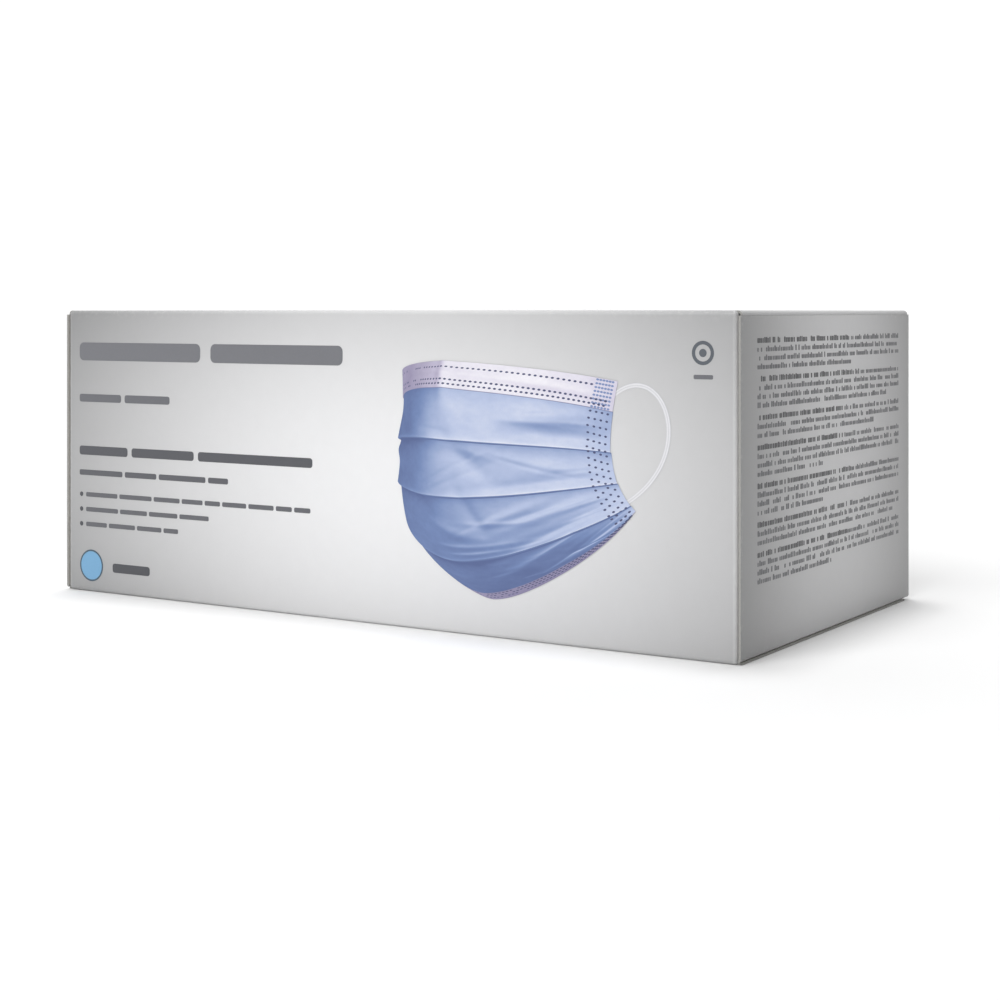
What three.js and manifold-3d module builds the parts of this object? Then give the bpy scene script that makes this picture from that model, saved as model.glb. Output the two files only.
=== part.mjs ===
// A folding carton for a stack of surgical face masks, closed, standing on its base.
// The tube is one sheet of board, creased round four walls and glued down at the lower back edge.
// At each end two dust flaps fold in first, then a lid closes over them and its tongue tucks in.
// Millimetres, +Z up. Origin: the middle of the base. -Y: the front. +X: the right-hand end.

import * as THREE from 'three';
import { mergeVertices } from 'three/addons/utils/BufferGeometryUtils.js';
import Module from 'manifold-3d';

const wasm = await Module();
wasm.setup();

// The closed carton
const length = 190;
const depth = 100;
const height = 72;

// Board and its creases
const board = 0.5;
const creaseInside = 0.5;
const creaseOutside = creaseInside + board;
const arcFacets = 6; // in a quarter turn

// Clearances
const creaseGap = 0.3; // between two panels that fold on one crease
const layerGap = 0.3; // between a dust flap and the lid that covers it
const seamLift = 0.25; // from the floor up to the back wall's cut edge

const glueFlap = { height: 15, endSetback: 8, endSlant: 4 };
const lid = { sideInset: 0.3 };
const tongue = { reach: 14, sideInset: 1.6, cornerRadius: 6, lift: 0.3 };
const dustFlap = { clearance: 0.5, centreGap: 2.4, lowTaper: 3, topTaper: 6, cornerRadius: 5 };

// Faces and crease lines that several panels share
const endFace = length / 2;
const sideFace = depth / 2;
const creaseY = sideFace - creaseOutside;
const lidCreaseHeight = height - creaseOutside;
const glueInside = sideFace - 2 * board;

// The tongue rises inwards, because its tip must clear the base as the lid swings out
const tongueLow = board + tongue.lift;
const tongueSwing = lidCreaseHeight - tongueLow;
const tongueRise = tongueSwing - Math.sqrt(tongueSwing ** 2 - (creaseOutside + tongue.reach) ** 2);
const tongueTilt = Math.asin(tongueRise / tongue.reach);
const tongueTop = tongueLow + tongueRise + board;

// The dust flaps stand between the tongue and the top wall, just inside the lid
const flapOutside = endFace - board - layerGap;
const flapInside = flapOutside - board;
const flapLow = tongueTop + dustFlap.clearance;
const flapHigh = lidCreaseHeight - dustFlap.clearance;
const wallEnd = flapOutside - creaseOutside; // the front and back walls turn in from here

const printedBoard = new THREE.MeshStandardMaterial({ color: 0xdededd, roughness: 0.4, metalness: 0 });
const plainBoard = new THREE.MeshStandardMaterial({ color: 0xcfcbc2, roughness: 0.85, metalness: 0 });

// Points on an arc, its ends given in quarter turns.
function arc([x, y], radius, from, to) {
  const steps = Math.max(1, Math.round(Math.abs(to - from) * arcFacets));
  return Array.from({ length: steps + 1 }, (_, i) => {
    const angle = (Math.PI / 2) * (from + ((to - from) * i) / steps);
    return [x + radius * Math.cos(angle), y + radius * Math.sin(angle)];
  });
}

// The corner of an outline between two neighbours, turned into an arc.
function roundCorner(before, corner, after, radius) {
  const tip = new THREE.Vector2(...corner);
  const back = new THREE.Vector2(...before).sub(tip).normalize();
  const on = new THREE.Vector2(...after).sub(tip).normalize();
  const half = Math.acos(back.dot(on)) / 2;
  const middle = back.clone().add(on).setLength(radius / Math.sin(half)).add(tip);
  const start = back.multiplyScalar(radius / Math.tan(half)).add(tip).sub(middle).angle();
  const end = on.multiplyScalar(radius / Math.tan(half)).add(tip).sub(middle).angle();
  const turn = Math.atan2(Math.sin(end - start), Math.cos(end - start));
  const quarter = Math.PI / 2;
  return arc([middle.x, middle.y], radius, start / quarter, (start + turn) / quarter);
}

function outline(points) {
  return new THREE.Shape(points.map(([x, y]) => new THREE.Vector2(x, y)));
}

function extruded(shape, thickness) {
  return new THREE.ExtrudeGeometry(shape, { depth: thickness, bevelEnabled: false });
}

// A shape drawn in (Y, Z), extruded along X between two places.
function alongX(shape, from, to) {
  const turn = new THREE.Matrix4().set(0, 0, 1, 0, 1, 0, 0, 0, 0, 1, 0, 0, 0, 0, 0, 1);
  return extruded(shape, to - from).applyMatrix4(turn).translate(from, 0, 0);
}

// A shape drawn in (X, Z), extruded along Y between two places.
function alongY(shape, from, to) {
  return extruded(shape, to - from).rotateX(Math.PI / 2).translate(0, to, 0);
}

// A shape drawn in (X, Y), extruded along Z between two heights.
function alongZ(shape, from, to) {
  return extruded(shape, to - from).translate(0, 0, from);
}

function solidOf(geometry) {
  const bare = geometry.clone();
  bare.deleteAttribute('normal');
  bare.deleteAttribute('uv');
  const merged = mergeVertices(bare);
  const vertProperties = merged.attributes.position.array;
  const triVerts = new Uint32Array(merged.index.array);
  return new wasm.Manifold(new wasm.Mesh({ numProp: 3, vertProperties, triVerts }));
}

function geometryOf(solid) {
  const { vertProperties, triVerts } = solid.getMesh();
  const geometry = new THREE.BufferGeometry();
  geometry.setAttribute('position', new THREE.BufferAttribute(vertProperties, 3));
  geometry.setIndex(new THREE.BufferAttribute(triVerts, 1));
  geometry.computeVertexNormals();
  return geometry;
}

// The board round the four walls, in (Y, Z): up the back wall from its cut edge, over the top,
// down the front, along the base, and up inside the back wall to the start of the glue flap.
function tubeSection() {
  const glueCrease = glueInside - creaseInside;
  const bonded = creaseOutside + board;
  const section = outline([
    [sideFace, seamLift],
    ...arc([creaseY, lidCreaseHeight], creaseOutside, 0, 1),
    ...arc([-creaseY, lidCreaseHeight], creaseOutside, 1, 2),
    ...arc([-creaseY, creaseOutside], creaseOutside, 2, 3),
    ...arc([glueCrease, creaseOutside], creaseOutside, 3, 4),
    [sideFace - board, seamLift],
  ]);
  section.holes.push(outline([
    [glueInside, bonded],
    [sideFace - board, bonded],
    ...arc([creaseY, lidCreaseHeight], creaseInside, 0, 1),
    ...arc([-creaseY, lidCreaseHeight], creaseInside, 1, 2),
    ...arc([-creaseY, creaseOutside], creaseInside, 2, 3),
    ...arc([glueCrease, creaseOutside], creaseInside, 3, 4),
  ]));
  return section;
}

// The glue flap, bonded to the inside of the back wall, with slanted ends.
function glueFlapPlate() {
  const low = endFace - glueFlap.endSetback;
  const high = low - glueFlap.endSlant;
  const top = creaseOutside + glueFlap.height;
  const plate = outline([[-low, creaseOutside], [low, creaseOutside], [high, top], [-high, top]]);
  return alongY(plate, glueInside, sideFace - board / 2);
}

// A strip of board that runs straight from one place and then turns a quarter to the right.
function quarterCrease(start, centre) {
  return outline([
    [start, centre[1] + creaseInside],
    ...arc(centre, creaseInside, 1, 0),
    ...arc(centre, creaseOutside, 0, 1),
    [start, centre[1] + creaseOutside],
  ]);
}

// What the right-hand end of the tube adds: the top wall down to the lid's crease, the base's
// cut edge, and the front and back walls round to the dust flaps. Each laps into the tube.
function tubeEnd() {
  const lap = wallEnd - board;
  const lidTurn = quarterCrease(lap, [endFace - creaseOutside, lidCreaseHeight]);
  const flapTurn = quarterCrease(lap, [wallEnd, creaseY]);
  const baseEnd = endFace - board;
  const baseEdge = outline([[lap, 0], [baseEnd, 0], [baseEnd, board], [lap, board]]);
  const backTurn = alongZ(flapTurn, tongueLow + creaseOutside, lidCreaseHeight);
  return [
    solidOf(alongY(lidTurn, -creaseY, creaseY)),
    solidOf(alongY(baseEdge, -creaseY, glueInside - creaseInside)),
    solidOf(backTurn),
    solidOf(backTurn).mirror([0, 1, 0]),
  ];
}

function cartonTube() {
  let tube = solidOf(alongX(tubeSection(), -wallEnd, wallEnd)).add(solidOf(glueFlapPlate()));
  for (const piece of tubeEnd()) {
    tube = tube.add(piece).add(piece.mirror([1, 0, 0]));
  }
  return tube;
}

// The right-hand lid in (X, Z), down from its crease, round the bottom and in along the tongue.
function lidStrip(reach) {
  const centre = [endFace - creaseOutside, tongueLow + creaseOutside];
  const turned = -1 - tongueTilt / (Math.PI / 2);
  const along = new THREE.Vector2(-Math.cos(tongueTilt), Math.sin(tongueTilt)).multiplyScalar(reach);
  const onward = ([x, z]) => [x + along.x, z + along.y];
  const outer = arc(centre, creaseOutside, 0, turned);
  const inner = arc(centre, creaseInside, turned, 0);
  const top = lidCreaseHeight - creaseGap;
  return outline([
    [endFace, top],
    ...outer,
    ...(reach > 0 ? [onward(outer.at(-1)), onward(inner[0])] : []),
    ...inner,
    [endFace - board, top],
  ]);
}

// The tongue's outline from above, with the corners of its tip rounded.
function tonguePlan() {
  const side = sideFace - tongue.sideInset;
  const root = endFace + board;
  const tip = endFace - creaseOutside - tongue.reach * Math.cos(tongueTilt);
  const round = (y) => roundCorner([root, y], [tip, y], [tip, -y], tongue.cornerRadius);
  return outline([[root, -side], [root, side], ...round(side), ...round(-side).reverse()]);
}

function rightLid() {
  const half = sideFace - lid.sideInset;
  const plate = solidOf(alongY(lidStrip(0), -half, half));
  const strip = solidOf(alongY(lidStrip(tongue.reach), -creaseY, creaseY));
  return plate.add(strip.intersect(solidOf(alongZ(tonguePlan(), 0, height))));
}

// A dust flap in (Y, Z), narrower towards its tip. Side is -1 at the front wall, 1 at the back.
function dustFlapShape(side) {
  const root = side * (creaseY - creaseGap);
  const tip = (side * dustFlap.centreGap) / 2;
  const low = [tip, flapLow + dustFlap.lowTaper];
  const high = [tip, flapHigh - dustFlap.topTaper];
  return outline([
    [root, flapLow],
    ...roundCorner([root, flapLow], low, high, dustFlap.cornerRadius),
    ...roundCorner(low, high, [root, flapHigh], dustFlap.cornerRadius),
    [root, flapHigh],
  ]);
}

// End is -1 for the left-hand end, 1 for the right.
function dustFlapGeometry(end, side) {
  const faces = [end * flapInside, end * flapOutside].sort((a, b) => a - b);
  return alongX(dustFlapShape(side), ...faces);
}

function addPiece(group, name, geometry, material) {
  const mesh = new THREE.Mesh(geometry, material);
  mesh.name = name;
  group.add(mesh);
}

const carton = new THREE.Group();
addPiece(carton, 'carton_tube', geometryOf(cartonTube()), printedBoard);
addPiece(carton, 'right_lid', geometryOf(rightLid()), printedBoard);
addPiece(carton, 'left_lid', geometryOf(rightLid().mirror([1, 0, 0])), printedBoard);
for (const [endName, end] of [['right', 1], ['left', -1]]) {
  for (const [sideName, side] of [['front', -1], ['back', 1]]) {
    addPiece(carton, `${endName}_${sideName}_dust_flap`, dustFlapGeometry(end, side), plainBoard);
  }
}

export default carton;
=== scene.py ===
# A closed folding carton for surgical face masks: creased and printed folding boxboard.
# Everything is worked out in millimetres, in the CAD model's frame, and made in metres.
import math
import bpy
import numpy as np
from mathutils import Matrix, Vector


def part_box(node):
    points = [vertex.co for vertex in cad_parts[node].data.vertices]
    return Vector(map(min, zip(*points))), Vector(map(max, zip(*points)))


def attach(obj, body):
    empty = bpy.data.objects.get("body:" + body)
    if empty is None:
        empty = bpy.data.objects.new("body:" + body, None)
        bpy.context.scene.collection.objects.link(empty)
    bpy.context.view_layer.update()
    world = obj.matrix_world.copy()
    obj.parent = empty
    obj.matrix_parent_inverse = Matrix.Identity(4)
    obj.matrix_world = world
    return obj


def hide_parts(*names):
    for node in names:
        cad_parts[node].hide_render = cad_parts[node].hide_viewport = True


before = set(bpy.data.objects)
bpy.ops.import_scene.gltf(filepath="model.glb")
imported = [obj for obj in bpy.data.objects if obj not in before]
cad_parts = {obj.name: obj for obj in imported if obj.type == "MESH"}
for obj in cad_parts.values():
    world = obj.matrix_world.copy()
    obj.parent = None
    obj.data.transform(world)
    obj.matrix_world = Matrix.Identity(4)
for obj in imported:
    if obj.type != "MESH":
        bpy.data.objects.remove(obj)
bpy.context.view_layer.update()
mm = 0.001

endFace, sideFace, topFace = (np.array(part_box("carton_tube")[1]) / mm).tolist()
lidLow, lidHigh = ((np.array(corner) / mm).tolist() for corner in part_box("right_lid"))
flapLow, flapHigh = ((np.array(corner) / mm).tolist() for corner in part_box("right_front_dust_flap"))

board = {
    "thickness": 0.5,
    "creaseInside": 0.5,  # inner radius of a fold
    "bow": 0.22,  # how far a wall's middle stands out
    "lidBow": 0.7,  # a lid's share of that
    "cell": 2.0,  # grid spacing on a wall
    "firstCell": 0.8,  # the lowest one, over a bottom corner
    "arcSteps": 6,  # in a fold's quarter turn
    "paintedFoldHighlight": 1.12,  # a painted highlight: how much paler the grey is painted on an end fold, where the fold turns away from the light
    "foldRub": 0.8,  # how worn an end fold is, where 1 is worn through
    "edgeRub": 0.5,  # the same for the base's cut edge
    "rubReach": 1.2,  # from a fold to where little of its wear is left
    "baseSetback": 0.1,  # from the end face in to the base's cut edge
    "sharpFrom": 40,  # degrees between faces: folds look smooth, and only cut edges are sharp
}
creaseOutside = board["creaseInside"] + board["thickness"]
foldHeight = topFace - creaseOutside
wallEnd = flapHigh[0] - creaseOutside
creaseY = sideFace - creaseOutside

# Camera: level with the carton's top, so that its top edge lies on the horizon
camera = {
    "azimuth": 32.2,  # degrees the view is turned from straight on to the front
    "cornerDepth": 363.0,  # from the camera's plane to the near upright edge
    "cornerRight": 48.67,  # that edge, right of the lens axis
    "lens": 64.6,
    "sensor": 36.0,
    "shift": -0.1895,  # down, as a share of the frame
}


def addCamera():
    turn = math.radians(camera["azimuth"])
    ahead = np.array([-math.sin(turn), math.cos(turn)])
    right = np.array([math.cos(turn), math.sin(turn)])
    corner = np.array([endFace, -sideFace])
    place = corner - camera["cornerDepth"] * ahead - camera["cornerRight"] * right
    data = bpy.data.cameras.new("photoCamera")
    data.sensor_width = camera["sensor"]
    data.lens = camera["lens"]
    data.shift_y = camera["shift"]
    data.clip_start = 0.01
    eye = bpy.data.objects.new("photoCamera", data)
    eye.location = (place[0] * mm, place[1] * mm, topFace * mm)
    eye.rotation_euler = (math.pi / 2, 0, turn)
    bpy.context.collection.objects.link(eye)
    bpy.context.scene.camera = eye


def hexParts(hexColour):
    return np.array([int(hexColour[i:i + 2], 16) for i in (1, 3, 5)]) / 255


def toLinear(parts):
    # sRGB to linear: a straight part near black, above it the 2.4 power curve
    return np.where(parts <= 0.04045, parts / 12.92, ((parts + 0.055) / 1.055) ** 2.4)


def linearColour(hexColour):
    return (*toLinear(hexParts(hexColour)).tolist(), 1.0)


def addNode(tree, kind, settings=None, inputs=None):
    # Settings are the node's own properties. An input is a value, or a socket to link from.
    node = tree.nodes.new(kind)
    for name, value in (settings or {}).items():
        setattr(node, name, value)
    for name, value in (inputs or {}).items():
        if isinstance(value, bpy.types.NodeSocket):
            tree.links.new(value, node.inputs[name])
        else:
            node.inputs[name].default_value = value
    return node


def newMaterial(name):
    material = bpy.data.materials.new(name)
    material.use_nodes = True
    material.node_tree.nodes.clear()
    return material, material.node_tree


def finishMaterial(tree, inputs):
    surface = addNode(tree, "ShaderNodeBsdfPrincipled", inputs=inputs)
    addNode(tree, "ShaderNodeOutputMaterial", inputs={"Surface": surface.outputs["BSDF"]})


light = {
    # The widths are degrees across, and wide lights have soft shadows
    "frontKey": {"towards": (-0.02, -0.69, 0.72), "strength": 2.0, "width": 44},
    "overhead": {"towards": (-0.09, 0.09, 0.99), "strength": 1.3, "width": 17},
    "skyBehind": 1.06,
    "skyAround": 0.15,
    "floorSize": 80.0,  # metres
}


def addSun(name):
    look = light[name]
    sun = bpy.data.lights.new(name, "SUN")
    sun.energy = look["strength"]
    sun.angle = math.radians(look["width"])
    lamp = bpy.data.objects.new(name, sun)
    lamp.rotation_euler = Vector(look["towards"]).to_track_quat("Z", "Y").to_euler()
    bpy.context.collection.objects.link(lamp)


def addStudio():
    world = bpy.data.worlds.new("studio")
    world.use_nodes = True
    bpy.context.scene.world = world
    tree = world.node_tree
    tree.nodes.clear()
    # The sky is a white sweep behind the carton and paler all round
    turn = math.radians(camera["azimuth"])
    direction = addNode(tree, "ShaderNodeTexCoord")
    ahead = (-math.sin(turn), math.cos(turn), 0.0)
    facing = addNode(tree, "ShaderNodeVectorMath", {"operation": "DOT_PRODUCT"},
                     {0: direction.outputs["Generated"], 1: ahead})
    sweep = addNode(tree, "ShaderNodeMapRange", {"interpolation_type": "SMOOTHSTEP"}, {
        "Value": facing.outputs["Value"], "From Min": 0.2, "From Max": 0.85,
        "To Min": light["skyAround"], "To Max": light["skyBehind"]})
    sky = addNode(tree, "ShaderNodeBackground", inputs={
        "Color": (1, 1, 1, 1), "Strength": sweep.outputs["Result"]})
    addNode(tree, "ShaderNodeOutputWorld", inputs={"Surface": sky.outputs["Background"]})

    addSun("frontKey")
    addSun("overhead")
    half = light["floorSize"] / 2
    mesh = bpy.data.meshes.new("floor")
    mesh.from_pydata([(-half, -half, 0), (half, -half, 0), (half, half, 0), (-half, half, 0)], [],
                     [(0, 1, 2, 3)])
    floor = bpy.data.objects.new("floor", mesh)
    bpy.context.collection.objects.link(floor)
    # Matt white paper, so pale that only the shadows show on it
    material, nodes = newMaterial("white sweep paper")
    finishMaterial(nodes, {
        "Base Color": linearColour("#F2F2F2"), "Roughness": 0.9, "Specular IOR Level": 0.1})
    mesh.materials.append(material)
    bpy.context.scene.view_settings.view_transform = "Standard"


# Finishes. Sizes in them are in millimetres.
varnish = {"IOR": 1.5, "Specular IOR Level": 0.4, "Coat Weight": 0.2, "Coat Roughness": 0.3}


def addNoise(tree, coords, size, detail, roughness=0.5):
    return addNode(tree, "ShaderNodeTexNoise", inputs={
        "Vector": coords.outputs["Object"], "Scale": 1 / (size * mm), "Detail": detail,
        "Roughness": roughness})


def paperGrain(tree, coords, size, depth):
    # Fibres in the board: a noise that lifts the surface by hundredths of a millimetre or less.
    # Real ones are some 0.03 mm wide, too fine to show, so they are drawn about ten times as wide.
    fibres = addNoise(tree, coords, size, detail=3.0)
    return fibres, addNode(tree, "ShaderNodeBump", inputs={
        "Height": fibres.outputs["Fac"], "Distance": depth * mm, "Strength": 0.6})


def makePrintedBoard():
    # Coated folding boxboard, offset printed grey under satin dispersion varnish: clean, faintly
    # mottled, with a soft broad gloss, rubbed paler along its folds. The grey it takes from the mesh
    # carries painted shade, and a painted highlight on the end folds
    material, tree = newMaterial("printed and varnished boxboard")
    coords = addNode(tree, "ShaderNodeTexCoord")
    toneAndShade = addNode(tree, "ShaderNodeAttribute", {"attribute_name": "toneAndShade"})
    rub = addNode(tree, "ShaderNodeAttribute", {"attribute_name": "rub"})
    mottle = addNoise(tree, coords, size=3.0, detail=5.0, roughness=0.65)
    spread = addNode(tree, "ShaderNodeMapRange", inputs={
        "Value": mottle.outputs["Fac"], "To Min": 0.975, "To Max": 1.015})
    shaded = addNode(tree, "ShaderNodeMath", {"operation": "MULTIPLY"}, {
        0: toneAndShade.outputs["Fac"], 1: spread.outputs["Result"]})
    ink = addNode(tree, "ShaderNodeMix", {"data_type": "RGBA", "blend_type": "MULTIPLY"}, {
        "Factor": 1.0, 6: linearColour("#F1F1F2"), 7: shaded.outputs["Value"]})
    scuff = addNoise(tree, coords, size=0.9, detail=4.0)
    worn = addNode(tree, "ShaderNodeMapRange", inputs={
        "Value": scuff.outputs["Fac"], "From Min": 0.52, "From Max": 0.85, "To Max": 0.35})
    wornHere = addNode(tree, "ShaderNodeMath", {"operation": "MULTIPLY"}, {
        0: worn.outputs["Result"], 1: rub.outputs["Fac"]})
    face = addNode(tree, "ShaderNodeMix", {"data_type": "RGBA"}, {
        "Factor": wornHere.outputs["Value"], 6: ink.outputs[2], 7: linearColour("#DDDCD8")})
    fibres, bump = paperGrain(tree, coords, size=0.45, depth=0.006)
    gloss = addNode(tree, "ShaderNodeMapRange", inputs={
        "Value": fibres.outputs["Fac"], "To Min": 0.36, "To Max": 0.48})
    finishMaterial(tree, {"Base Color": face.outputs[2], "Roughness": gloss.outputs["Result"],
                          "Normal": bump.outputs["Normal"], **varnish})
    return material


def makeBoardBack():
    # The uncoated reverse of the board: matt warm grey pulp with darker flecks
    material, tree = newMaterial("uncoated board back")
    coords = addNode(tree, "ShaderNodeTexCoord")
    flecks = addNoise(tree, coords, size=1.1, detail=8.0, roughness=0.8)
    colours = addNode(tree, "ShaderNodeMapRange", inputs={
        "Value": flecks.outputs["Fac"], "From Min": 0.4, "From Max": 0.75})
    pulp = addNode(tree, "ShaderNodeMix", {"data_type": "RGBA"}, {
        "Factor": colours.outputs["Result"], 6: linearColour("#DAD8D2"), 7: linearColour("#C3C0B7")})
    bump = paperGrain(tree, coords, size=0.35, depth=0.03)[1]
    finishMaterial(tree, {"Base Color": pulp.outputs[2], "Roughness": 0.9, "IOR": 1.5,
                          "Specular IOR Level": 0.25, "Normal": bump.outputs["Normal"]})
    return material


def makeCutEdge():
    # The die-cut edge: bare layered pulp, slightly furry, darker than the back
    material, tree = newMaterial("die-cut board edge")
    coords = addNode(tree, "ShaderNodeTexCoord")
    layers = addNoise(tree, coords, size=0.25, detail=4.0)
    pulp = addNode(tree, "ShaderNodeMix", {"data_type": "RGBA"}, {
        "Factor": layers.outputs["Fac"], 6: linearColour("#AEADAA"), 7: linearColour("#949390")})
    bump = paperGrain(tree, coords, size=0.2, depth=0.03)[1]
    finishMaterial(tree, {"Base Color": pulp.outputs[2], "Roughness": 0.95, "IOR": 1.5,
                          "Specular IOR Level": 0.2, "Normal": bump.outputs["Normal"]})
    return material


def makeInk():
    # Offset ink under the same varnish: its colour is in the mesh, broken a little by the grain
    material, tree = newMaterial("varnished offset ink")
    coords = addNode(tree, "ShaderNodeTexCoord")
    colour = addNode(tree, "ShaderNodeAttribute", {"attribute_name": "ink"})
    fibres, bump = paperGrain(tree, coords, size=0.45, depth=0.004)
    grain = addNode(tree, "ShaderNodeMapRange", inputs={
        "Value": fibres.outputs["Fac"], "To Min": 0.95, "To Max": 1.03})
    broken = addNode(tree, "ShaderNodeMix", {"data_type": "RGBA", "blend_type": "MULTIPLY"}, {
        "Factor": 1.0, 6: colour.outputs["Color"], 7: grain.outputs["Result"]})
    finishMaterial(tree, {"Base Color": broken.outputs[2], "Roughness": 0.4,
                          "Normal": bump.outputs["Normal"], **varnish})
    return material


def makeFinishes():
    return {"face": makePrintedBoard(), "back": makeBoardBack(), "cut": makeCutEdge(),
            "ink": makeInk()}


# Sheets of board

def bowAt(a, b, halfA, halfB):
    # How far a wall stands out: a parabola each way, nothing at its folds
    rise = np.clip(1 - (a / halfA) ** 2, 0, 1) * np.clip(1 - (b / halfB) ** 2, 0, 1)
    return board["bow"] * rise


def wallBow(x, z):
    return bowAt(x, z - topFace / 2, wallEnd, topFace / 2 - creaseOutside)


def lidBow(y, z):
    half = topFace / 2 - 2 * creaseOutside
    return bowAt(y, z - topFace / 2, lidHigh[1], half) * board["lidBow"]


# The printed grey with painted shade in it: lightest near the middle of a panel, falling away as a bell
# curve each way. The falloff towards the edges and the darker end panels are painted shade.
printedGreyAndShade = {
    "front": {"full": 0.995, "middle": (9.8, 33.5), "reach": (121, 69)},
    "end": {"full": 0.72, "middle": (1.8, 38.0), "reach": (59, 250)},
    "back": {"full": 0.95, "middle": (0.0, 35.3), "reach": (135, 80)},
    "top": {"full": 0.95, "middle": (0.0, 0.0), "reach": (140, 95)},
}


def greyAndShadeAt(panel, along, across):
    # Grey with painted shade at a place on a panel
    look = printedGreyAndShade[panel]
    return look["full"] * np.exp(-((along - look["middle"][0]) / look["reach"][0]) ** 2
                                 - ((across - look["middle"][1]) / look["reach"][1]) ** 2)


def arc(centre, radius, start, end, steps=board["arcSteps"]):
    # Points on a circle, the angles in degrees
    angle = np.radians(np.linspace(start, end, steps + 1))
    return np.stack([centre[0] + radius * np.cos(angle), centre[1] + radius * np.sin(angle)], 1)


def spaced(start, end, cell=board["cell"]):
    return np.linspace(start, end, max(2, int(round(abs(end - start) / cell)) + 1))


def gridFaces(rows, columns):
    index = np.arange(rows * columns).reshape(rows, columns)
    return np.stack([index[:-1, :-1], index[:-1, 1:], index[1:, 1:], index[1:, :-1]], -1).reshape(-1, 4)


def weldSheets(sheets):
    # Joins grids at the points they share. A sheet is its points, its grey with painted shade and its
    # rubs as arrays.
    points = np.concatenate([sheet["points"].reshape(-1, 3) for sheet in sheets])
    tonesAndShades = np.concatenate([sheet["toneAndShade"].ravel() for sheet in sheets])
    rubs = np.concatenate([sheet["rub"].ravel() for sheet in sheets])
    faces = []
    count = 0
    for sheet in sheets:
        rows, columns = sheet["points"].shape[:2]
        made = gridFaces(rows, columns)
        faces.append((made[:, ::-1] if sheet.get("turned") else made) + count)
        count += rows * columns
    faces = np.concatenate(faces)
    _, first, same = np.unique(np.round(points, 4), axis=0, return_index=True, return_inverse=True)
    faces = same.ravel()[faces]
    collapsed = (faces == np.roll(faces, 1, axis=1)).any(1)  # at a corner cap's pole
    triangles = [list(dict.fromkeys(face)) for face in faces[collapsed].tolist()]
    return points[first], faces[~collapsed].tolist() + triangles, tonesAndShades[first], rubs[first]


def linkMesh(name, points, faces):
    mesh = bpy.data.meshes.new(name)
    mesh.from_pydata((points * mm).tolist(), [], faces if isinstance(faces, list) else faces.tolist())
    piece = bpy.data.objects.new(name, mesh)
    bpy.context.collection.objects.link(piece)
    return piece


def boardPiece(name, sheets, finishes):
    # A welded sheet given its thickness inwards, with the reverse and the cut edge as they are
    points, faces, tonesAndShades, rubs = weldSheets(sheets)
    piece = linkMesh(name, points, faces)
    # The grey layer holds the printed grey with its painted shade, and a painted highlight on the end
    # folds
    for label, values in (("toneAndShade", tonesAndShades), ("rub", rubs)):
        layer = piece.data.attributes.new(label, "FLOAT", "POINT")
        layer.data.foreach_set("value", values.astype(np.float32))
    for finish in ("face", "back", "cut"):
        piece.data.materials.append(finishes[finish])
    wall = piece.modifiers.new("thickness", "SOLIDIFY")
    wall.thickness = board["thickness"] * mm
    wall.offset = -1
    wall.use_even_offset = True
    wall.use_quality_normals = True
    wall.material_offset = 1
    wall.material_offset_rim = 2
    solid = bpy.data.meshes.new_from_object(
        piece.evaluated_get(bpy.context.evaluated_depsgraph_get()))
    piece.modifiers.clear()
    piece.data = solid
    solid.polygons.foreach_set("use_smooth", [True] * len(solid.polygons))
    solid.set_sharp_from_angle(angle=math.radians(board["sharpFrom"]))
    return piece


def wallSamples():
    # Heights up a wall: over its bottom corner, at the top of the lowest cell, then evenly
    return np.concatenate([[creaseOutside], spaced(creaseOutside + board["firstCell"], foldHeight)])


def rubNearFold(distance):
    # Wear beside a fold: a bell curve, full on the fold
    return np.exp(-(distance / board["rubReach"]) ** 2)


# The glue flap runs on from the base, up inside the back wall
glueFlap = {
    "seam": 0.25,  # from the floor up to the back wall's cut edge
    "behind": 0.03,  # between the back wall and the flap, for the glue
    "stub": 1.0,  # how far the tube's own sheet goes up the flap
    "start": 0.5,  # where the flap's sheet starts, over the fold
    "top": 16.0,
    "endSetback": 8.0,
    "endSlant": 4.0,
    "cell": 3.0,  # grid spacing up the flap
    "columns": 60,
    "toneAndShade": 0.9,  # coated but not printed
}


def tubeSheet(slack=1e-6):
    # The section round the four walls, carried along X from wall end to wall end. The section is
    # straight walls joined by quarter circles.
    up = wallSamples()
    across = spaced(-creaseY, creaseY)
    backCrease = sideFace - board["thickness"] - creaseOutside - glueFlap["behind"]
    section = np.concatenate([
        np.stack([np.full(len(up) + 1, sideFace), np.concatenate([[glueFlap["seam"]], up])], 1),
        arc((creaseY, foldHeight), creaseOutside, 0, 90)[1:],
        np.stack([across[::-1], np.full(len(across), topFace)], 1)[1:],
        arc((-creaseY, foldHeight), creaseOutside, 90, 180)[1:],
        np.stack([np.full(len(up), -sideFace), up[::-1]], 1)[1:],
        arc((-creaseY, creaseOutside), creaseOutside, 180, 270)[1:],
        np.stack([across[:-1], np.zeros(len(across) - 1)], 1)[1:],
        arc((backCrease, creaseOutside), creaseOutside, 270, 360),
        [[backCrease + creaseOutside, creaseOutside + glueFlap["stub"]]],
    ])
    along = spaced(-wallEnd, wallEnd)
    x, y = np.meshgrid(along, section[:, 0])
    z = np.meshgrid(along, section[:, 1])[1]
    onWall = (np.abs(y) >= sideFace - slack) & (z >= creaseOutside) & (z <= foldHeight)
    onTop = z >= topFace - slack
    # Each wall's grey holds painted shade
    side = np.where(y > 0, greyAndShadeAt("back", x, z), greyAndShadeAt("front", x, z))
    toneAndShade = np.where(np.abs(y) >= creaseY, side, greyAndShadeAt("top", x, y))
    fold = np.minimum(np.hypot(np.abs(y) - sideFace, z - topFace), np.hypot(np.abs(y) - sideFace, z))
    points = np.stack([x, y + onWall * np.sign(y) * wallBow(x, z),
                       z + onTop * bowAt(x, y, wallEnd, creaseY)], -1)
    return {"points": points, "toneAndShade": toneAndShade, "rub": rubNearFold(fold), "turned": True}


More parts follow.
